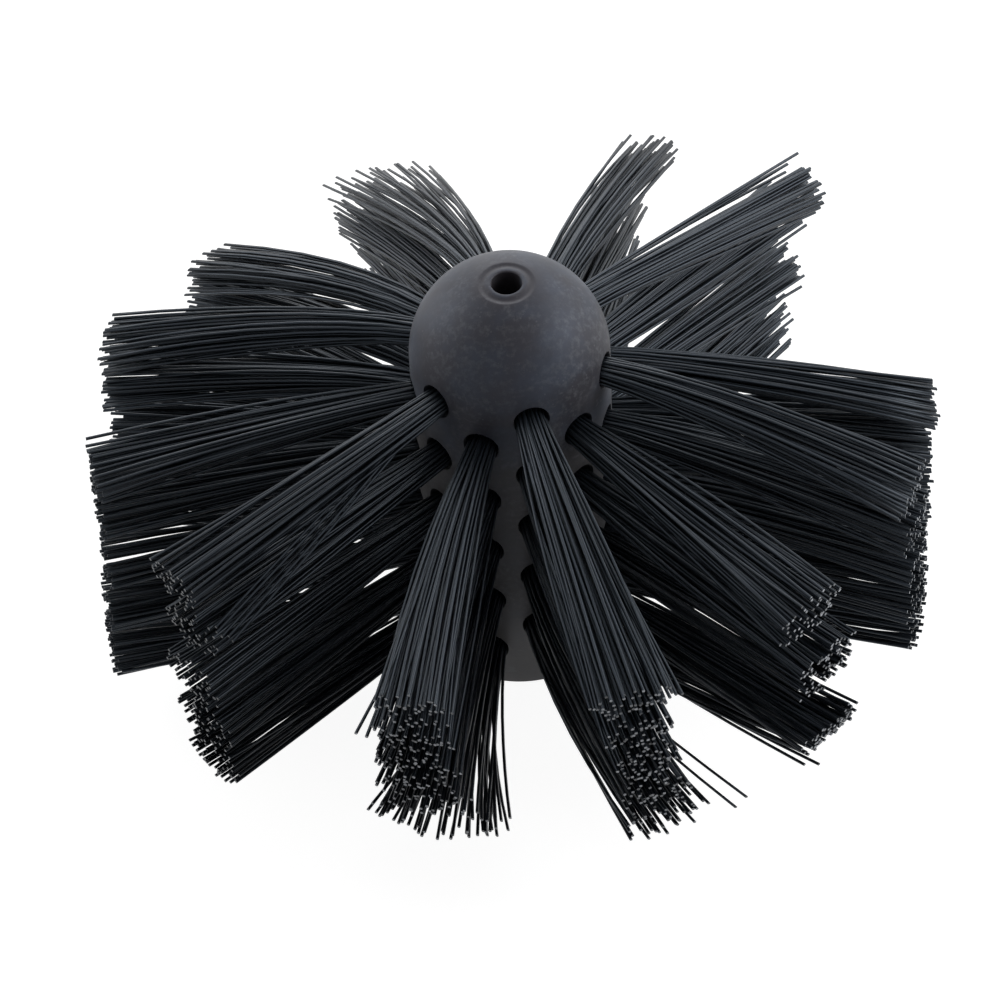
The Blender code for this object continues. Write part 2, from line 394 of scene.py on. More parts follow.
    def scratch_mask(self, tree: Tree, place: Socket) -> Socket:
        """Short thin scratches, at a slant across the dome.

        Args:
            tree: Node tree of the material.
            place: Object coordinates.

        Returns:
            Mask, 0 on clean plastic and up to about a quarter on a scratch.
        """
        turned = add_node(
            tree,
            "Mapping",
            values={"Rotation": self.scratch_turn, "Scale": self.scratch_stretch},
            links={"Vector": place},
        ).outputs["Vector"]
        streaks = add_node(
            tree,
            "TexNoise",
            values=self.scratches.values() | {"Distortion": self.scratch_distortion},
            links={"Vector": turned},
        ).outputs["Fac"]
        return add_node(
            tree, "ValToRGB", links={"Fac": streaks}, stops={0.71: grey(0.0), 0.76: grey(0.25)}
        ).outputs["Color"]


@dataclass(frozen=True)
class NylonFilament:
    """Black extruded nylon monofilament: satin, so that each one carries a thin line of light."""

    deep: str = "07090c"
    worn: str = "171b21"
    dust: str = "3f444b"
    tint: str = "dcebfc"
    ior: float = 1.53
    specular: float = 0.36
    smooth: float = 0.27
    rough: float = 0.45
    streaks: Pattern = Pattern(2.0 * MM, 4.0, 0.6)
    streak_share: float = 0.35
    specks: Pattern = Pattern(1.2 * MM)

    def material(self) -> bpy.types.Material:
        """Builds the material.

        Returns:
            A node material that reads each filament's own tone.
        """
        material, tree = new_tree("black_nylon_filament")
        place = add_node(tree, "TexCoord").outputs["Object"]
        tone = add_node(
            tree, "Attribute", attribute_type="GEOMETRY", attribute_name="tone"
        ).outputs["Fac"]
        streaks = add_node(
            tree, "TexNoise", values=self.streaks.values(), links={"Vector": place}
        ).outputs["Fac"]
        mixed = add_node(
            tree,
            "Math",
            operation="MULTIPLY_ADD",
            values={1: self.streak_share},
            links={0: streaks, 2: tone},
        ).outputs[0]
        body = add_node(
            tree,
            "ValToRGB",
            links={"Fac": mixed},
            stops={0.10: linear(self.deep), 1.10: linear(self.worn)},
        ).outputs["Color"]
        specks = add_node(
            tree, "TexNoise", values=self.specks.values(), links={"Vector": place}
        ).outputs["Fac"]
        dusty = add_node(
            tree, "ValToRGB", links={"Fac": specks}, stops={0.66: grey(0.0), 0.80: grey(0.35)}
        ).outputs["Color"]
        colour = add_node(
            tree,
            "Mix",
            data_type="RGBA",
            values={"B": linear(self.dust)},
            links={"Factor": dusty, "A": body},
        ).outputs["Result"]
        roughness = add_node(
            tree,
            "MapRange",
            values={"To Min": self.smooth, "To Max": self.rough},
            links={"Value": streaks},
        ).outputs["Result"]
        shader = add_node(
            tree,
            "BsdfPrincipled",
            values={
                "IOR": self.ior,
                "Specular IOR Level": self.specular,
                "Specular Tint": linear(self.tint),
            },
            links={"Base Color": colour, "Roughness": roughness},
        )
        add_node(tree, "OutputMaterial", links={"Surface": shader.outputs[0]})
        return material


@dataclass(frozen=True)
class CutNylon:
    """Sheared end of a filament: nylon goes pale where it is cut, more on some than on others."""

    dull: str = "2e3033"
    pale: str = "a2a6ac"
    ior: float = 1.53
    roughness: float = 0.5
    tears: Pattern = Pattern(0.35 * MM)
    tear_share: float = 0.4

    def material(self) -> bpy.types.Material:
        """Builds the material.

        Returns:
            A node material that reads each filament's own tone.
        """
        material, tree = new_tree("cut_nylon_end")
        place = add_node(tree, "TexCoord").outputs["Object"]
        tone = add_node(
            tree, "Attribute", attribute_type="GEOMETRY", attribute_name="tone"
        ).outputs["Fac"]
        tears = add_node(
            tree, "TexNoise", values=self.tears.values(), links={"Vector": place}
        ).outputs["Fac"]
        mixed = add_node(
            tree,
            "Math",
            operation="MULTIPLY_ADD",
            values={1: self.tear_share},
            links={0: tears, 2: tone},
        ).outputs[0]
        colour = add_node(
            tree,
            "ValToRGB",
            links={"Fac": mixed},
            stops={0.15: linear(self.dull), 1.15: linear(self.pale)},
        )
        shader = add_node(
            tree,
            "BsdfPrincipled",
            values={"IOR": self.ior, "Roughness": self.roughness},
            links={"Base Color": colour.outputs["Color"]},
        )
        add_node(tree, "OutputMaterial", links={"Surface": shader.outputs[0]})
        return material


@dataclass(frozen=True)
class TurnedBrass:
    """Free-cutting brass, turned and tapped: fine rings from the tool, a little tarnished."""

    bright: str = "c9a45c"
    tarnish: str = "8d6c35"
    smooth: float = 0.30
    rough: float = 0.45
    stains: Pattern = Pattern(5.0 * MM, 5.0)
    # A tool leaves rings a tenth of this apart, which would be too fine to show.
    ring_pitch: float = 1.57 * MM

    def material(self) -> bpy.types.Material:
        """Builds the material.

        Returns:
            A node material on object coordinates, with its rings about Z.
        """
        material, tree = new_tree("turned_brass")
        place = add_node(tree, "TexCoord").outputs["Object"]
        stains = add_node(
            tree, "TexNoise", values=self.stains.values(), links={"Vector": place}
        ).outputs["Fac"]
        colour = add_node(
            tree,
            "ValToRGB",
            links={"Fac": stains},
            stops={0.35: linear(self.tarnish), 0.60: linear(self.bright)},
        )
        rings = add_node(
            tree,
            "TexWave",
            wave_type="BANDS",
            bands_direction="Z",
            values={"Scale": math.pi / 10 / self.ring_pitch, "Distortion": 0.4},
            links={"Vector": place},
        ).outputs["Fac"]
        roughness = add_node(
            tree,
            "MapRange",
            values={"To Min": self.smooth, "To Max": self.rough},
            links={"Value": rings},
        ).outputs["Result"]
        shader = add_node(
            tree,
            "BsdfPrincipled",
            values={"Metallic": 1.0},
            links={"Base Color": colour.outputs["Color"], "Roughness": roughness},
        )
        add_node(tree, "OutputMaterial", links={"Surface": shader.outputs[0]})
        return material


def add_object(bm: bmesh.types.BMesh, name: str) -> bpy.types.Object:
    """Turns a finished mesh into an object of the scene.

    Args:
        bm: The mesh, in place, which is freed.
        name: Name of the object.

    Returns:
        The new object, at the origin.
    """
    mesh = bpy.data.meshes.new(name)
    bm.to_mesh(mesh)
    bm.free()
    added = bpy.data.objects.new(name, mesh)
    bpy.context.scene.collection.objects.link(added)
    return added


def make_piece(
    bm: bmesh.types.BMesh,
    name: str,
    materials: list[bpy.types.Material],
    nodes: list[str],
    sharp_angle: float = SHARP_ANGLE,
) -> bpy.types.Object:
    """Turns a finished mesh into a piece that rides on the frame.

    Args:
        bm: The mesh, in place, which is freed.
        name: Name of the piece.
        materials: Materials, in the order of the faces' numbers.
        nodes: Nodes of the frame that the piece stands for.
        sharp_angle: Angle between faces past which an edge is shaded sharp.

    Returns:
        The new object, at the origin.
    """
    piece = add_object(bm, name)
    mesh = piece.data
    for material in materials:
        mesh.materials.append(material)
    mesh.shade_smooth()
    mesh.set_sharp_from_angle(angle=sharp_angle)
    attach(piece, "root")
    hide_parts(*nodes)
    log.info("%s: %d faces, stands for %s", name, len(mesh.polygons), ", ".join(nodes))
    return piece


def spin_outline(bm: bmesh.types.BMesh, outline: Outline, sides: int, closed: bool) -> None:
    """Spins an outline about Z into a turned body.

    Args:
        bm: Mesh that takes the body.
        outline: Radius and height of each point.
        sides: Number of steps round the axis.
        closed: Whether the last point joins the first.
    """
    verts = [bm.verts.new((radius, 0.0, height)) for radius, height in outline]
    following = verts[1:] + verts[:1] if closed else verts[1:]
    edges = [bm.edges.new(pair) for pair in zip(verts, following)]
    bmesh.ops.spin(
        bm,
        geom=verts + edges,
        cent=(0, 0, 0),
        axis=(0, 0, 1),
        angle=2 * math.pi,
        steps=sides,
        use_merge=True,
    )
    bmesh.ops.remove_doubles(bm, verts=bm.verts, dist=MERGE_DISTANCE)
    bmesh.ops.recalc_face_normals(bm, faces=bm.faces)


def arc(
    centre: tuple[float, float], radius: float, start: float, end: float, steps: int
) -> Outline:
    """Points on an arc in the plane of an outline.

    Args:
        centre: Radius and height of the arc's centre.
        radius: Radius of the arc.
        start: Angle of its first point above the outward direction.
        end: Angle of its last point.
        steps: Number of steps between them.

    Returns:
        Radius and height of each point.
    """
    turns = [start + (end - start) * step / steps for step in range(steps + 1)]
    return [
        (centre[0] + radius * math.cos(turn), centre[1] + radius * math.sin(turn))
        for turn in turns
    ]


@dataclass(frozen=True)
class Drilling:
    """Pattern of the tuft holes in the hub, as the frame has it."""

    columns: int = 12
    tiers: int = 5
    pitch: float = 17.5 * MM
    lowest: float = 12.5 * MM
    radius: float = 4.0 * MM
    depth: float = 11.0 * MM
    flare: float = 0.55 * MM
    flare_depth: float = 0.9 * MM
    point_angle: float = math.radians(118)
    sides: int = 32

    def height(self, column: int, tier: int) -> float:
        """Height of a hole; tier 0 is the top one, and odd columns stand low."""
        stagger = 0.0 if column % 2 else self.pitch / 2
        return self.lowest + stagger + (self.tiers - 1 - tier) * self.pitch

    def place(self, column: int, tier: int) -> Matrix:
        """Place and turn of a hole, whose axis lies along X before that.

        Args:
            column: Number of the column, counted from the one that faces the front.
            tier: Number of the tier, counted down from the top.

        Returns:
            The matrix from the hole's own axes to the frame's.
        """
        turn = Matrix.Rotation(column * 2 * math.pi / self.columns - math.pi / 2, 4, "Z")
        return Matrix.Translation((0, 0, self.height(column, tier))) @ turn

    def add_cutter(self, bm: bmesh.types.BMesh, surface: float, place: Matrix) -> None:
        """Adds the space of one hole, with the flare that deburring leaves at its mouth.

        Args:
            bm: Mesh that takes the cutter.
            surface: Distance of the hub's surface from its axis.
            place: Place and turn of the hole.
        """
        cone = self.radius / math.tan(self.point_angle / 2)
        rings = [
            (surface + self.flare_depth / 3, self.radius + self.flare),
            (surface - self.flare_depth, self.radius),
            (surface - self.depth, self.radius),
            (surface - self.depth - cone, 0.0),
        ]
        known = len(bm.verts)
        upright = Matrix.Rotation(math.pi / 2, 4, "Y")
        made = bmesh.ops.create_circle(
            bm,
            cap_ends=True,
            segments=self.sides,
            radius=rings[0][1],
            matrix=Matrix.Translation((rings[0][0], 0, 0)) @ upright,
        )["verts"]
        edges = list(dict.fromkeys(edge for vert in made for edge in vert.link_edges))
        for (before, old), (after, new) in zip(rings, rings[1:]):
            grown = bmesh.ops.extrude_edge_only(bm, edges=edges)["geom"]
            verts = [item for item in grown if isinstance(item, bmesh.types.BMVert)]
            edges = [
                item
                for item in grown
                if isinstance(item, bmesh.types.BMEdge) and item.is_boundary
            ]
            share = new / old
            bmesh.ops.scale(bm, vec=(1, share, share), verts=verts)
            bmesh.ops.translate(bm, vec=(after - before, 0, 0), verts=verts)
        bmesh.ops.pointmerge(bm, verts=verts, merge_co=(rings[-1][0], 0, 0))
        bm.verts.ensure_lookup_table()
        bmesh.ops.transform(bm, matrix=place, verts=bm.verts[known:])


@dataclass
class Hub:
    """Turned and drilled plastic body of the head."""

    drilling: Drilling
    material: bpy.types.Material
    radius: float = 23.0 * MM
    barrel: float = 91.0 * MM
    foot_edge: float = 0.8 * MM
    socket_radius: float = 7.3 * MM
    socket_depth: float = 34.0 * MM
    tip_hole_radius: float = 3.5 * MM
    tip_hole_depth: float = 25.0 * MM
    tip_hole_edge: float = 0.4 * MM
    dish_radius: float = 6.8 * MM
    dish_depth: float = 0.3 * MM
    dish_drop: float = 0.35 * MM
    dish_steps: int = 16
    sides: int = 144
    dome_steps: int = 40
    edge_steps: int = 5
    barrel_steps: int = 24

    def outline(self) -> Outline:
        """Section of the hub, from the end of the tip hole over the dome to the socket's end.

        Returns:
            Radius and height of each point.
        """
        cone = math.tan(self.drilling.point_angle / 2)
        start = math.asin(self.dish_radius / self.radius)
        edge = self.tip_hole_edge
        lip = self.tip_hole_radius + 2 * edge
        rim = self.barrel + math.sqrt(self.radius**2 - lip**2) - self.dish_drop
        tip_end = rim - self.tip_hole_depth
        tip_hole = [(0.0, tip_end - self.tip_hole_radius / cone), (self.tip_hole_radius, tip_end)]
        tip_hole += arc(
            (self.tip_hole_radius + edge, rim - edge), edge, math.pi, math.pi / 2, self.edge_steps
        )
        dish = []
        for step in range(self.dish_steps):
            share = step / self.dish_steps
            radius = lip + (self.dish_radius - lip) * share
            hollow = self.dish_depth * math.sin(math.pi * share) ** 2
            hollow += self.dish_drop * math.cos(math.pi / 2 * share) ** 2
            dish.append((radius, self.barrel + math.sqrt(self.radius**2 - radius**2) - hollow))
        dome = arc((0.0, self.barrel), self.radius, math.pi / 2 - start, 0.0, self.dome_steps)
        wall = [
            (self.radius, self.barrel * (1 - step / self.barrel_steps))
            for step in range(1, self.barrel_steps)
        ]
        foot = arc(
            (self.radius - self.foot_edge, self.foot_edge),
            self.foot_edge,
            0.0,
            -math.pi / 2,
            self.edge_steps,
        )
        socket = [
            (self.socket_radius, 0.0),
            (self.socket_radius, self.socket_depth),
            (0.0, self.socket_depth + self.socket_radius / cone),
        ]
        return tip_hole + dish + dome + wall + foot + socket

    def build(self) -> bpy.types.Object:
        """Turns the body, drills its sixty holes and dresses it.

        Returns:
            The hub.
        """
        body = bmesh.new()
        spin_outline(body, self.outline(), self.sides, closed=False)
        blank = add_object(body, "hub_blank")
        space = bmesh.new()
        for column in range(self.drilling.columns):
            for tier in range(self.drilling.tiers):
                self.drilling.add_cutter(space, self.radius, self.drilling.place(column, tier))
        bmesh.ops.recalc_face_normals(space, faces=space.faces)
        drill = add_object(space, "hub_drill")
        cut = blank.modifiers.new("drilled", "BOOLEAN")
        cut.operation = "DIFFERENCE"
        cut.solver = "EXACT"
        cut.object = drill
        shape = blank.evaluated_get(bpy.context.evaluated_depsgraph_get())
        bm = bmesh.new()
        bm.from_mesh(shape.to_mesh())
        shape.to_mesh_clear()
        for helper in (blank, drill):
            bpy.data.objects.remove(helper)
        return make_piece(bm, "turned_hub", [self.material], ["hub"])


@dataclass
class ThreadedBush:
    """Brass bush in the foot, with a coarse thread for the sweep's rod."""

    material: bpy.types.Material
    radius: float = 7.0 * MM
    length: float = 30.0 * MM
    recess: float = 0.5 * MM
    chamfer: float = 0.5 * MM
    groove_width: float = 2.0 * MM
    groove_depth: float = 0.6 * MM
    thread_root: float = 6.0 * MM
    thread_crest: float = 5.1 * MM
    thread_pitch: float = 1.75 * MM
    crest_flat: float = 0.3 * MM
    root_flat: float = 1.5 * MM
    sides: int = 48

    def body_outline(self) -> Outline:
        """Section of the wall, with two grooves that key it into the plastic.

        Returns:
            Radius and height of each point.
        """
        low = self.recess
        high = low + self.length
        edge = self.chamfer
        outline = [
            (self.thread_root + edge, low),
            (self.radius - edge, low),
            (self.radius, low + edge),
        ]
        for groove in (1, 2):
            middle = low + self.length * groove / 3
            half = self.groove_width / 2
            depth = self.groove_depth
            outline += [
                (self.radius, middle - half),
                (self.radius - depth, middle - half + depth),
                (self.radius - depth, middle + half - depth),
                (self.radius, middle + half),
            ]
        outline += [
            (self.radius, high - edge),
            (self.radius - edge, high),
            (self.thread_root, high),
            (self.thread_root, low + edge),
        ]
        return outline

    def add_thread(self, bm: bmesh.types.BMesh) -> None:
        """Winds the thread's ridge up the bore.

        Args:
            bm: Mesh that takes the ridge.
        """
        low = self.recess + self.chamfer + self.root_flat / 2
        turns = int((self.length - 2 * self.chamfer - self.root_flat) / self.thread_pitch)
        seat = self.thread_root + self.chamfer / 2
        section = [
            (seat, -self.root_flat / 2),
            (self.thread_crest, -self.crest_flat / 2),
            (self.thread_crest, self.crest_flat / 2),
            (seat, self.root_flat / 2),
        ]
        verts = [bm.verts.new((radius, 0.0, low + height)) for radius, height in section]
        edges = [bm.edges.new(pair) for pair in zip(verts, verts[1:] + verts[:1])]
        bmesh.ops.spin(
            bm,
            geom=verts + edges,
            cent=(0, 0, 0),
            axis=(0, 0, 1),
            dvec=(0, 0, self.thread_pitch / self.sides),
            angle=2 * math.pi * turns,
            steps=self.sides * turns,
        )
        open_edges = [edge for edge in bm.edges if edge.is_boundary]
        bmesh.ops.holes_fill(bm, edges=open_edges, sides=len(section))
        bmesh.ops.recalc_face_normals(bm, faces=bm.faces)

    def build(self) -> bpy.types.Object:
        """Turns the bush and taps it.

        Returns:
            The bush.
        """
        bm = bmesh.new()
        spin_outline(bm, self.body_outline(), self.sides, closed=True)
        self.add_thread(bm)
        return make_piece(bm, "threaded_bush", [self.material], ["threaded_insert"])


@dataclass(frozen=True)
class ColumnSet:
    """How the tufts of one column have set in packing and use, tier by tier from the top.

    Lean is the shift of the tips round the brush, counter-clockwise from above, in shares of its
    radius. Rise is their shift upwards, in shares of the tier pitch. Bend power 1 spreads both
    evenly along the filaments, and a higher one brings them nearer the tips. Trims are the length
    in mm by which a tuft was cut longer than its neighbours. Soot and shade is how far the
    filaments' tones are painted darker, from 0 to 1: painted shade on the columns at the left.
    Tilt is the slope of the top tuft's fan. Strays are the filaments that stand away from their
    tuft, by tier: how far in mm each tip lies from the tuft's middle, across and upwards.
    """

    lean_shares: tuple[float, ...]
    rise_shares: tuple[float, ...]
    top_fan: Fan = Fan.EVEN
    fan: Fan = Fan.EVEN
    low_fan: Fan | None = None
    bend_power: float = 1.5
    trims: tuple[float, ...] = (0.0,) * 5
    # Painted shade: how far the filaments' tones are painted darker.
    soot_and_shade: float = 0.0
    tilt: float = 0.0
    strays: dict[int, list[tuple[float, float]]] = field(default_factory=dict)

    def fan_width(self, tier: int, tiers: int) -> float:
        """Width of the fan of tips at a tier.

        Args:
            tier: Number of the tier, counted down from the top.
            tiers: Number of tiers.

        Returns:
            The width across the brush.
        """
        if tier == 0:
            return self.top_fan.value
        if tier == tiers - 1 and self.low_fan:
            return self.low_fan.value
        return self.fan.value


# The twelve columns, counter-clockwise from the one that faces the front.
COLUMN_SETS = (
    ColumnSet(
        (0.060, 0.070, 0.085, 0.105, 0.125),
        (-0.85, -0.40, 0.00, 0.40, 0.72),
        Fan.BROAD,
        Fan.TIGHT,
        Fan.BROAD,
        bend_power=1.3,
        strays={4: [(21.0, -9.5), (18.0, -10.0)]},
    ),
    ColumnSet(
        (0.020, 0.040, 0.040, 0.055, 0.065),
        (-0.30, -0.10, 0.58, 0.44, 1.28),
        Fan.BROAD,
        bend_power=1.1,
        trims=(-2.0, 1.0, 2.0, 2.0, 4.0),
        strays={4: [(-9.0, -4.0), (-6.0, -5.0)]},
    ),
    ColumnSet((-0.030, -0.020, -0.010, 0.000, 0.010), (-0.90, -0.55, -0.25, 0.05, 0.33)),
    ColumnSet(
        (-0.140, -0.140, -0.120, -0.100, -0.080),
        (-1.19, -0.72, -0.40, -0.15, 0.14),
        Fan.TIGHT,
        bend_power=1.1,
        trims=(3.0, 0.0, 0.0, 0.0, 0.0),
    ),
    ColumnSet(
        (0.010, 0.090, 0.060, 0.110, 0.120),
        (-0.86, -0.56, -0.50, -0.30, -0.05),
        Fan.NARROW,
        Fan.TIGHT,
        bend_power=1.15,
        trims=(0.5, 0.0, -2.5, -3.0, -1.0),
        strays={1: [(-7.0, 2.0)]},
    ),
    ColumnSet(
        (-0.052, 0.024, 0.055, 0.070, 0.070),
        (-1.00, -1.00, -0.75, -0.45, -0.20),
        Fan.TIGHT,
        Fan.TIGHT,
        tilt=-0.3,
    ),
    ColumnSet(
        (0.130, 0.200, 0.140, 0.105, 0.080),
        (-1.70, -1.28, -1.00, -0.60, -0.20),
        Fan.SPLAYED,
        Fan.TIGHT,
        bend_power=1.3,
        tilt=0.15,
    ),
    ColumnSet(
        (0.160, 0.170, 0.140, 0.110, 0.080),
        (-1.11, -0.60, -0.50, -0.20, 0.10),
        bend_power=1.6,
        trims=(-1.5, -3.0, 0.0, 0.0, 0.0),
    ),
    ColumnSet(
        (0.090, 0.110, 0.100, 0.090, 0.080),
        (-0.96, -0.50, -0.30, -0.10, 0.10),
        Fan.TIGHT,
        bend_power=1.4,
        trims=(0.5, -1.0, -1.8, 0.0, 0.0),
    ),
    ColumnSet(
        (0.010, 0.000, 0.000, 0.000, 0.000),
        (-0.34, -0.05, 0.00, 0.08, 0.23),
        trims=(0.0, 0.0, 0.0, 1.0, 1.5),
        # Painted shade: this column's filaments and cut ends are painted darker.
        soot_and_shade=0.8,
    ),
    ColumnSet(
        (-0.050, -0.010, 0.010, 0.040, 0.060),
        (-0.45, -0.10, 0.12, 0.40, 0.73),
        bend_power=1.4,
        trims=(-0.5, -1.0, 1.5, 2.0, 3.0),
        # Painted shade: this column's filaments and cut ends are painted darker.
        soot_and_shade=0.8,
        strays={
            0: [(11.0, -6.5), (12.0, -7.0), (13.0, -8.0), (14.0, -8.0), (15.0, -9.0)],
            3: [(-3.0, 8.0), (4.0, 8.0)],
            4: [(-4.0, 7.0), (4.0, 7.0)],
        },
    ),
    ColumnSet(
        (0.075, 0.070, 0.070, 0.080, 0.110),
        (-0.25, 0.15, 0.55, 0.95, 1.30),
        Fan.EVEN,
        Fan.BROAD,
        Fan.SPLAYED,
        strays={
            1: [(-13.0, -2.0)],
            4: [(14.8, -2.0), (12.5, -3.5), (11.5, -1.0), (10.5, -3.0), (9.5, -2.0)]
            + [(-16.0, 1.0), (-15.0, -1.0), (-17.0, -1.0), (-14.0, 1.0)],
        },
    ),
)


@dataclass
class Tuft:
    """One bundle of filaments, from the fold in its hole to its trimmed tips."""

    drilling: Drilling
    column: int
    tier: int
    filament: bpy.types.Material
    cut_end: bpy.types.Material
    strands: int = 60
    strand_radius: float = 0.4 * MM
    strand_sides: int = 6
    hub_radius: float = 23.0 * MM
    brush_radius: float = 98.0 * MM
    seat_depth: float = 8.5 * MM
    bundle_width: float = 6.8 * MM
    bundle_height: float = 5.8 * MM
    bundle_sag: float = 0.6 * MM
    fan_height: float = 12.0 * MM
    loose: float = 0.7 * MM
    bow: float = 0.5 * MM
    clump: float = 1.6 * MM
    clump_size: float = 7.0 * MM
    trim: float = 0.7 * MM
    stray_share: float = 0.02
    stray_shift: float = 2.0 * MM
    tier_gap: float = 0.8 * MM
    stations: tuple[float, ...] = (0.0, 0.10, 0.22, 0.36, 0.52, 0.68, 0.84)
    sharp_angle: float = math.radians(75)

    def blank(self) -> bpy.types.Mesh:
        """Makes a straight filament of unit length along X, cut across at each station.

        Returns:
            The mesh; its seat in the hole runs from -1 to 0 and its free length from 0 to 1.
        """
        bm = bmesh.new()
        bm.verts.layers.float.new("tone")
        bmesh.ops.create_cone(
            bm,
            cap_ends=True,
            segments=self.strand_sides,
            radius1=self.strand_radius,
            radius2=self.strand_radius,
            depth=2.0,
            matrix=Matrix.Rotation(math.pi / 2, 4, "Y"),
        )
        for station in self.stations:
            bmesh.ops.bisect_plane(
                bm,
                geom=bm.verts[:] + bm.edges[:] + bm.faces[:],
                dist=MERGE_DISTANCE,
                plane_co=(station, 0, 0),
                plane_no=(1, 0, 0),
            )
        for face in bm.faces:
            face.material_index = int(face.normal.x > 0.5)
        mesh = bpy.data.meshes.new("filament_blank")
        bm.to_mesh(mesh)
        bm.free()
        return mesh

    def spots(self) -> list[tuple[float, float]]:
        """Even places in a unit disc, as seeds sit in a sunflower.

        Returns:
            The two coordinates of each filament's place.
        """
        golden = math.pi * (3 - math.sqrt(5))
        places = []
        for index in range(self.strands):
            radius = math.sqrt((index + 0.5) / self.strands)
            places.append((radius * math.cos(index * golden), radius * math.sin(index * golden)))
        return places

    def tip_set(self, tier: int) -> tuple[float, float]:
        """Set of the tips of a tier in this tuft's column.

        Args:
            tier: Number of the tier, counted down from the top.

        Returns:
            Shift round the brush and shift upwards.
        """
        column_set = COLUMN_SETS[self.column]
        lean = self.brush_radius * column_set.lean_shares[tier]
        rise = self.drilling.pitch * column_set.rise_shares[tier]
        return lean, rise

    def fan_size(self) -> tuple[float, float]:
        """Spread of the tips, which leaves the tiers next to it their room.

        Returns:
            Width and height of the fan.
        """
        tiers = self.drilling.tiers
        rises = [self.tip_set(tier)[1] for tier in range(tiers)]
        spacings = [self.drilling.pitch + high - low for high, low in zip(rises, rises[1:])]
        closest = min(spacings[max(self.tier - 1, 0) : self.tier + 1]) - self.tier_gap
        width = COLUMN_SETS[self.column].fan_width(self.tier, tiers)
        return width, min(self.fan_height, closest)

    def tip_shift(self, spot: tuple[float, float], chance: random.Random) -> tuple[float, float]:
        """How far a filament's tip lies from its even place in the fan.

        Args:
            spot: Place of the filament in the unit disc.
            chance: Source of random numbers for this tuft.

        Returns:
            Shift across the brush and shift upwards.
        """
        reach = self.brush_radius / self.clump_size
        where = Vector((spot[0], spot[1], 0)) * (self.fan_height / self.clump_size)
        where += Vector((self.column * reach, self.tier * reach, 0))
        drift = noise.noise_vector(where) * self.clump
        across = drift.x + chance.gauss(0, self.loose)
        upwards = drift.y + chance.gauss(0, self.loose)
        if chance.random() < self.stray_share:
            across += chance.uniform(-1, 1) * self.stray_shift
            upwards += chance.uniform(-1, 1) * self.stray_shift
        return across, upwards

    def build(self) -> bpy.types.Object:
        """Lays every filament from its seat to its tip and dresses them.

        Returns:
            The tuft.
        """
        chance = random.Random(self.column * self.drilling.tiers + self.tier)
        column_set = COLUMN_SETS[self.column]
        lean, rise = self.tip_set(self.tier)
        fan_width, fan_height = self.fan_size()
        tilt = 0.0 if self.tier else column_set.tilt
        strays = list(column_set.strays.get(self.tier, []))
        blank = self.blank()
        bm = bmesh.new()
        tone_layer = bm.verts.layers.float.new("tone")
        mouth = self.hub_radius - self.strand_radius
        for spot in self.spots():
            across, upwards = self.tip_shift(spot, chance)
            root = (
                spot[0] * self.bundle_width / 2,
                spot[1] * self.bundle_height / 2 - self.bundle_sag,
            )
            across += spot[0] * fan_width / 2
            tip = (across, spot[1] * fan_height / 2 + upwards + tilt * across)
            if strays:
                tip = tuple(shift * MM for shift in strays.pop())
            length = math.sqrt(self.brush_radius**2 - tip[0] ** 2) - mouth
            length += chance.uniform(-1, 1) * self.trim + column_set.trims[self.tier] * MM
            turn = math.hypot(tip[0] - root[0] + lean, tip[1] - root[1] + rise)
            reach = math.sqrt(length**2 - turn**2)
            # Painted shade: the columns at the left get darker tones on their filaments and cut
            # ends.
            tone = chance.random() * (1 - column_set.soot_and_shade)
            bow = (chance.gauss(0, self.bow), chance.gauss(0, self.bow))
            known = len(bm.verts)
            bm.from_mesh(blank)
            bm.verts.ensure_lookup_table()
            for vert in bm.verts[known:]:
                share = max(vert.co.x, 0.0)
                bend = share**column_set.bend_power
                seat = min(vert.co.x, 0.0) * self.seat_depth
                vert.co.x = mouth + seat + reach * share
                arch = math.sin(math.pi * share)
                vert.co.y += root[0] + (tip[0] - root[0]) * share + lean * bend + bow[0] * arch
                vert.co.z += root[1] + (tip[1] - root[1]) * share + rise * bend + bow[1] * arch
                vert[tone_layer] = tone
        bpy.data.meshes.remove(blank)
        place = self.drilling.place(self.column, self.tier)
        bmesh.ops.transform(bm, matrix=place, verts=bm.verts)
        node = f"tuft_c{self.column + 1:02d}_t{self.tier + 1}"
        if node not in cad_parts:
            node = "hub"
        return make_piece(
            bm,
            f"filaments_c{self.column + 1:02d}_t{self.tier + 1}",
            [self.filament, self.cut_end],
            [node],
            sharp_angle=self.sharp_angle,
        )


@dataclass
class BrushHead:
    """The whole head: the hub, its bush and its sixty tufts."""

    drilling: Drilling = field(default_factory=Drilling)

    def build(self) -> None:
        """Builds the sub-assemblies in order."""
        # Blender's noise starts from the clock unless it has a seed.
        noise.seed_set(CLUMP_SEED)
        plastic = TurnedPlastic().material()
        brass = TurnedBrass().material()
        filament = NylonFilament().material()
        cut_end = CutNylon().material()
        Hub(self.drilling, plastic).build()
        ThreadedBush(brass).build()
        for column in range(self.drilling.columns):
            for tier in range(self.drilling.tiers):
                Tuft(self.drilling, column, tier, filament, cut_end).build()


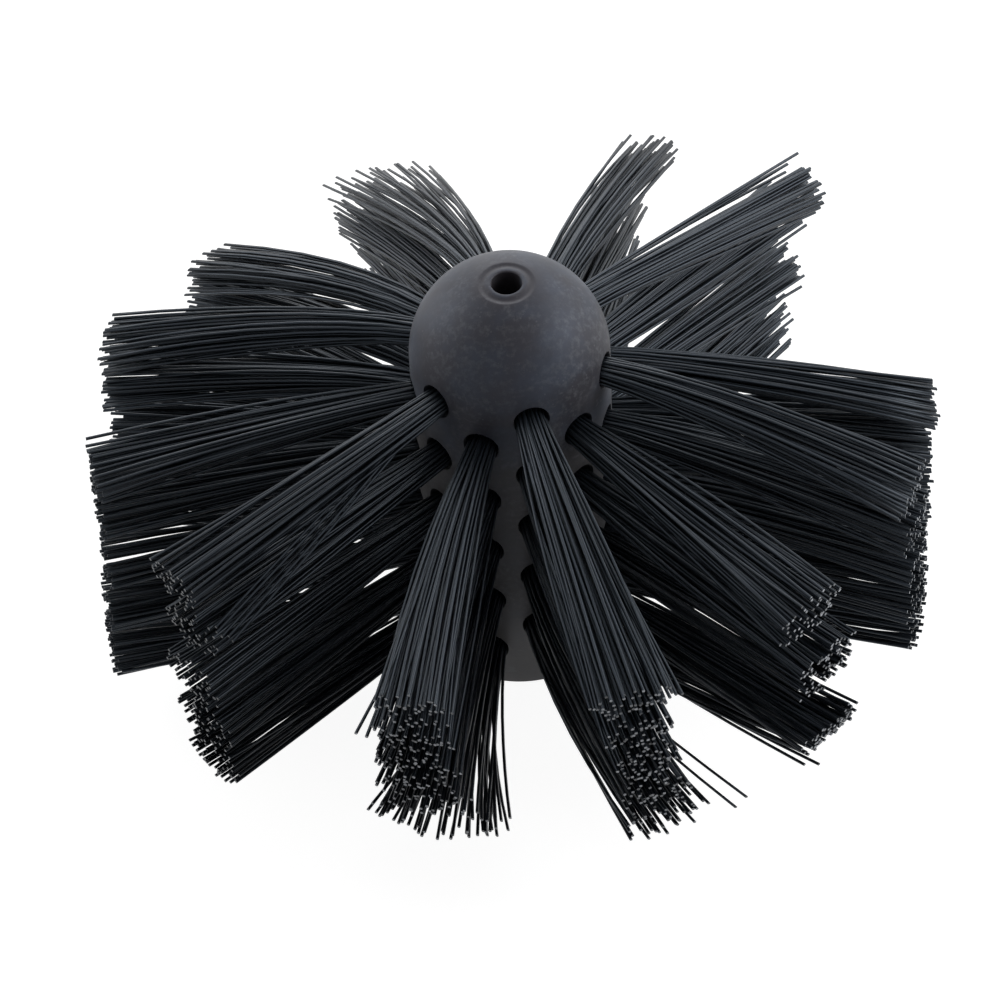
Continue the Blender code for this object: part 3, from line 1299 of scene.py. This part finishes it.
@dataclass
class Studio:
    """Pale floor, soft lamps and the camera, none of which is part of the object."""

    floor_side: float = 12.0
    floor_colour: str = "e9e9e9"
    floor_glow: float = 0.92
    floor_share: float = 0.30
    floor_gap: float = 0.1 * MM
    world_level: float = 0.10
    lamp_distance: float = 1.2
    lamp_side: float = 0.8
    aim_height: float = 46.0 * MM
    camera_distance: float = 1.15
    camera_azimuth: float = math.radians(-10.85)
    camera_elevation: float = math.radians(48.06)
    camera_roll: float = math.radians(2.62)
    focal_pixels: float = 4898.0
    aim_pixel: tuple[float, float] = (515.6, 482.6)

    def seen_rays(self, tree: Tree) -> Socket:
        """Mask of the rays that show the background itself: from the camera, a gloss or a glass.

        Args:
            tree: Node tree of the floor or the world.

        Returns:
            1 for those rays and 0 for the rest.
        """
        paths = add_node(tree, "LightPath").outputs
        seen = paths["Is Camera Ray"]
        for other in ("Is Glossy Ray", "Is Transmission Ray"):
            links = {0: seen, 1: paths[other]}
            seen = add_node(tree, "Math", operation="MAXIMUM", links=links).outputs[0]
        return seen

    def floor_material(self) -> bpy.types.Material:
        """White paper that glows for the camera, so that only the shadow shows on it.

        Returns:
            The floor's material, clear from below.
        """
        material, tree = new_tree("white_studio_paper")
        seen = self.seen_rays(tree)
        paper = add_node(
            tree, "BsdfDiffuse", values={"Color": linear(self.floor_colour)}
        ).outputs[0]
        shade = add_node(tree, "BsdfDiffuse", values={"Color": grey(self.floor_share)}).outputs[0]
        glow = add_node(tree, "Emission", values={"Strength": self.floor_glow}).outputs[0]
        lit = add_node(tree, "AddShader", links={0: shade, 1: glow}).outputs[0]
        top = add_node(tree, "MixShader", links={0: seen, 1: paper, 2: lit}).outputs[0]
        below = add_node(tree, "NewGeometry").outputs["Backfacing"]
        clear = add_node(tree, "BsdfTransparent").outputs[0]
        both = add_node(tree, "MixShader", links={0: below, 1: top, 2: clear})
        add_node(tree, "OutputMaterial", links={"Surface": both.outputs[0]})
        return material

    def add_floor(self) -> None:
        """Lays the floor just under the foot."""
        bm = bmesh.new()
        bmesh.ops.create_grid(bm, x_segments=1, y_segments=1, size=self.floor_side / 2)
        bmesh.ops.translate(bm, verts=bm.verts, vec=(0, 0, -self.floor_gap))
        floor = add_object(bm, "studio_floor")
        floor.data.materials.append(self.floor_material())

    def add_world(self) -> None:
        """Surrounds the object with soft light, seen as white."""
        world = bpy.data.worlds.new("studio_tent")
        bpy.context.scene.world = world
        world.use_nodes = True
        tree = world.node_tree
        tree.nodes.clear()
        strength = add_node(
            tree,
            "MapRange",
            values={"To Min": self.world_level, "To Max": 1.0},
            links={"Value": self.seen_rays(tree)},
        ).outputs["Result"]
        sky = add_node(
            tree, "Background", values={"Color": grey(1.0)}, links={"Strength": strength}
        )
        add_node(tree, "OutputWorld", links={"Surface": sky.outputs[0]})

    def add_lamp(self, name: str, azimuth: float, elevation: float, power: float) -> None:
        """Hangs a square soft lamp that faces the object.

        Args:
            name: Name of the lamp.
            azimuth: Direction round the object, 0 at the front, in degrees.
            elevation: Height above the horizon, in degrees.
            power: Power in watts.
        """
        data = bpy.data.lights.new(name, "AREA")
        data.shape = "SQUARE"
        data.size = self.lamp_side
        data.energy = power
        lamp = bpy.data.objects.new(name, data)
        away = direction(math.radians(azimuth), math.radians(elevation))
        lamp.location = Vector((0, 0, self.aim_height)) + away * self.lamp_distance
        lamp.rotation_mode = "QUATERNION"
        lamp.rotation_quaternion = away.to_track_quat("Z", "Y")
        bpy.context.scene.collection.objects.link(lamp)

    def add_camera(self) -> None:
        """Sets the camera at the photograph's angle, with the hub off its middle as there."""
        data = bpy.data.cameras.new("camera")
        data.sensor_width = SENSOR_WIDTH
        data.lens = SENSOR_WIDTH * self.focal_pixels / IMAGE_SIDE
        camera = bpy.data.objects.new("camera", data)
        away = direction(self.camera_azimuth, self.camera_elevation)
        middle = IMAGE_SIDE / 2
        aim = Vector(
            (
                (self.aim_pixel[0] - middle) / self.focal_pixels,
                (middle - self.aim_pixel[1]) / self.focal_pixels,
                -1.0,
            )
        )
        straight = away.to_track_quat("Z", "Y")
        rolled = straight @ Quaternion((0, 0, 1), -self.camera_roll)
        offset = Vector((0, 0, -1)).rotation_difference(aim)
        camera.location = Vector((0, 0, self.aim_height)) + away * self.camera_distance
        camera.rotation_mode = "QUATERNION"
        camera.rotation_quaternion = rolled @ offset.inverted()
        bpy.context.scene.collection.objects.link(camera)
        bpy.context.scene.camera = camera

    def build(self) -> None:
        """Sets up the stage."""
        self.add_floor()
        self.add_world()
        self.add_lamp("left_softbox", -130.0, 24.0, 7.5)
        self.add_lamp("right_softbox", 80.0, 28.0, 10.2)
        self.add_lamp("far_right_softbox", 120.0, 28.0, 4.0)
        self.add_lamp("back_softbox", 170.0, 28.0, 6.5)
        self.add_camera()
        bpy.context.scene.view_settings.view_transform = "Standard"


def main() -> None:
    """Builds the object and its stage."""
    logging.basicConfig(level=logging.INFO, format="%(message)s")
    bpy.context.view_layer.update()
    BrushHead().build()
    Studio().build()
    bpy.context.view_layer.update()


if __name__ == "__main__":
    main()
